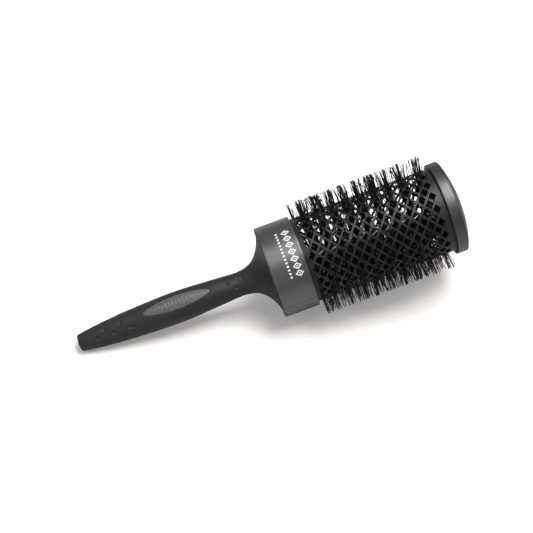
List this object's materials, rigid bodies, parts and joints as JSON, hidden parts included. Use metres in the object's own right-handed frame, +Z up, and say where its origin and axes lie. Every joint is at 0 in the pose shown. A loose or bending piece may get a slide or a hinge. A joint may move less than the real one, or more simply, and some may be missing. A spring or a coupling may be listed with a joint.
{
  "type": "round barrel brush",
  "caption": "Vented round hair brush: perforated metal barrel with diamond vents, short nylon bristles, collar band, domed end cap and a slim soft-touch handle.",
  "frame": {"origin": "centre of the flat end of the handle, on the brush axis", "axes": "+X along the brush axis towards the domed end cap; +Z up through the middle of the oval inlay; +Y completes a right-handed frame"},
  "size_m": [0.2798, 0.0816, 0.0816],
  "materials": {
    "hard_core": "moulded, slightly textured",
    "soft_grip": "soft-touch matt skin",
    "inlay": "fine-textured soft grey",
    "collar": "moulded plastic with a satin metallic-grey lacquer",
    "barrel": "dark ceramic coat, satin",
    "cap": "moulded plastic with a satin dark metallic-grey lacquer",
    "steel": "drawn and zinc plated",
    "bristle": "drawn nylon, semi-gloss"
  },
  "bodies": {
    "root": {"handle_core": "hard_core", "soft_grip": "soft_grip", "handle_inlay": "inlay", "collar_band": "collar", "barrel_tube": "barrel", "end_cap": "cap", "end_dome": "cap", "cap_screw": "steel", "cap_ferrule": "steel", "handle_ferrule": "steel", "stem_wire_a": "steel", "stem_wire_b": "steel", "bristle_root_strip": "bristle", "bristle_row_01": "bristle", "bristle_row_02": "bristle", "bristle_row_03": "bristle", "bristle_row_04": "bristle", "bristle_row_05": "bristle", "bristle_row_06": "bristle", "bristle_row_07": "bristle", "bristle_row_08": "bristle", "bristle_row_09": "bristle", "bristle_row_10": "bristle", "bristle_row_11": "bristle", "bristle_row_12": "bristle", "bristle_row_13": "bristle", "bristle_row_14": "bristle", "bristle_row_15": "bristle", "bristle_row_16": "bristle", "bristle_row_17": "bristle", "bristle_row_18": "bristle", "bristle_row_19": "bristle", "bristle_row_20": "bristle", "bristle_row_21": "bristle", "bristle_row_22": "bristle", "bristle_row_23": "bristle", "bristle_row_24": "bristle", "bristle_row_25": "bristle"}
  },
  "joints": []
}
